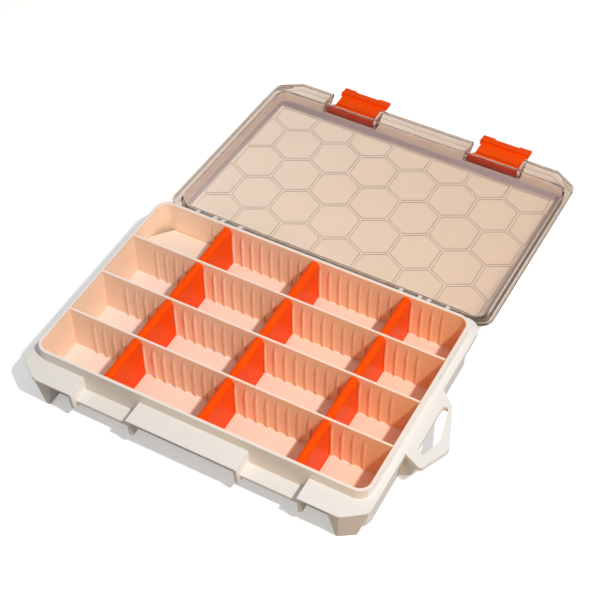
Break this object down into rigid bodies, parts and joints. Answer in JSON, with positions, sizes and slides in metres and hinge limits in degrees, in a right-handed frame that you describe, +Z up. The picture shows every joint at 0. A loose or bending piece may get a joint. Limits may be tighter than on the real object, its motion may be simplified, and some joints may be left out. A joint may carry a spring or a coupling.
{
  "type": "tackle box",
  "caption": "Flat tackle box: ribbed compartment tray with lift-out dividers, clear hinged lid with hexagon relief, swinging latches and a side carrying loop.",
  "frame": {"origin": "on the table under the middle of the tray, at the rest face", "axes": "+X to the side with the carrying loop, +Y from the latch side to the hinge and on along the open lid, +Z up"},
  "size_m": [0.2982, 0.4175, 0.0425],
  "materials": {
    "tray_plastic": "moulded polypropylene, satin",
    "orange_plastic": "moulded polypropylene, satin",
    "clear_plastic": "clear moulded polystyrene, polished",
    "insert_plastic": "moulded polypropylene, satin",
    "steel": "drawn wire"
  },
  "bodies": {
    "tray": {"base_tray": "tray_plastic", "hinge_pin_left": "steel", "hinge_pin_right": "steel"},
    "lid": {"lid_shell": "clear_plastic", "latch_pin_left": "steel", "latch_pin_right": "steel"},
    "latch_left": {"latch_left": "orange_plastic"},
    "latch_right": {"latch_right": "orange_plastic"},
    "divider_row1_1": {"divider_row1_1": "orange_plastic"},
    "divider_row1_2": {"divider_row1_2": "orange_plastic"},
    "divider_row1_3": {"divider_row1_3": "orange_plastic"},
    "divider_row2_1": {"divider_row2_1": "orange_plastic"},
    "divider_row2_2": {"divider_row2_2": "orange_plastic"},
    "divider_row2_3": {"divider_row2_3": "orange_plastic"},
    "divider_row3_1": {"divider_row3_1": "orange_plastic"},
    "divider_row3_2": {"divider_row3_2": "orange_plastic"},
    "divider_row3_3": {"divider_row3_3": "orange_plastic"},
    "divider_row4_1": {"divider_row4_1": "orange_plastic"},
    "divider_row4_2": {"divider_row4_2": "orange_plastic"},
    "divider_row4_3": {"divider_row4_3": "orange_plastic"},
    "corner_insert": {"corner_insert": "insert_plastic"}
  },
  "joints": [
    {"name": "lid_hinge", "type": "hinge", "parent": "tray", "child": "lid", "pos_m": [0, 0.0963, 0.0278], "axis": [-1, 0, 0], "range_deg": [-183.41, 0]},
    {"name": "latch_left_hinge", "type": "hinge", "parent": "lid", "child": "latch_left", "pos_m": [-0.0662, 0.28186, 0.00311], "axis": [-1, 0, 0], "range_deg": [-71.57, 0]},
    {"name": "latch_right_hinge", "type": "hinge", "parent": "lid", "child": "latch_right", "pos_m": [0.0662, 0.28186, 0.00311], "axis": [-1, 0, 0], "range_deg": [-71.57, 0]},
    {"name": "divider_row1_1_lift", "type": "slide", "parent": "tray", "child": "divider_row1_1", "axis": [0, 0, 1], "range_m": [0, 0.045]},
    {"name": "divider_row1_2_lift", "type": "slide", "parent": "tray", "child": "divider_row1_2", "axis": [0, 0, 1], "range_m": [0, 0.045]},
    {"name": "divider_row1_3_lift", "type": "slide", "parent": "tray", "child": "divider_row1_3", "axis": [0, 0, 1], "range_m": [0, 0.045]},
    {"name": "divider_row2_1_lift", "type": "slide", "parent": "tray", "child": "divider_row2_1", "axis": [0, 0, 1], "range_m": [0, 0.045]},
    {"name": "divider_row2_2_lift", "type": "slide", "parent": "tray", "child": "divider_row2_2", "axis": [0, 0, 1], "range_m": [0, 0.045]},
    {"name": "divider_row2_3_lift", "type": "slide", "parent": "tray", "child": "divider_row2_3", "axis": [0, 0, 1], "range_m": [0, 0.045]},
    {"name": "divider_row3_1_lift", "type": "slide", "parent": "tray", "child": "divider_row3_1", "axis": [0, 0, 1], "range_m": [0, 0.045]},
    {"name": "divider_row3_2_lift", "type": "slide", "parent": "tray", "child": "divider_row3_2", "axis": [0, 0, 1], "range_m": [0, 0.045]},
    {"name": "divider_row3_3_lift", "type": "slide", "parent": "tray", "child": "divider_row3_3", "axis": [0, 0, 1], "range_m": [0, 0.045]},
    {"name": "divider_row4_1_lift", "type": "slide", "parent": "tray", "child": "divider_row4_1", "axis": [0, 0, 1], "range_m": [0, 0.045]},
    {"name": "divider_row4_2_lift", "type": "slide", "parent": "tray", "child": "divider_row4_2", "axis": [0, 0, 1], "range_m": [0, 0.045]},
    {"name": "divider_row4_3_lift", "type": "slide", "parent": "tray", "child": "divider_row4_3", "axis": [0, 0, 1], "range_m": [0, 0.045]},
    {"name": "corner_insert_lift", "type": "slide", "parent": "tray", "child": "corner_insert", "axis": [0, 0, 1], "range_m": [0, 0.045]}
  ]
}
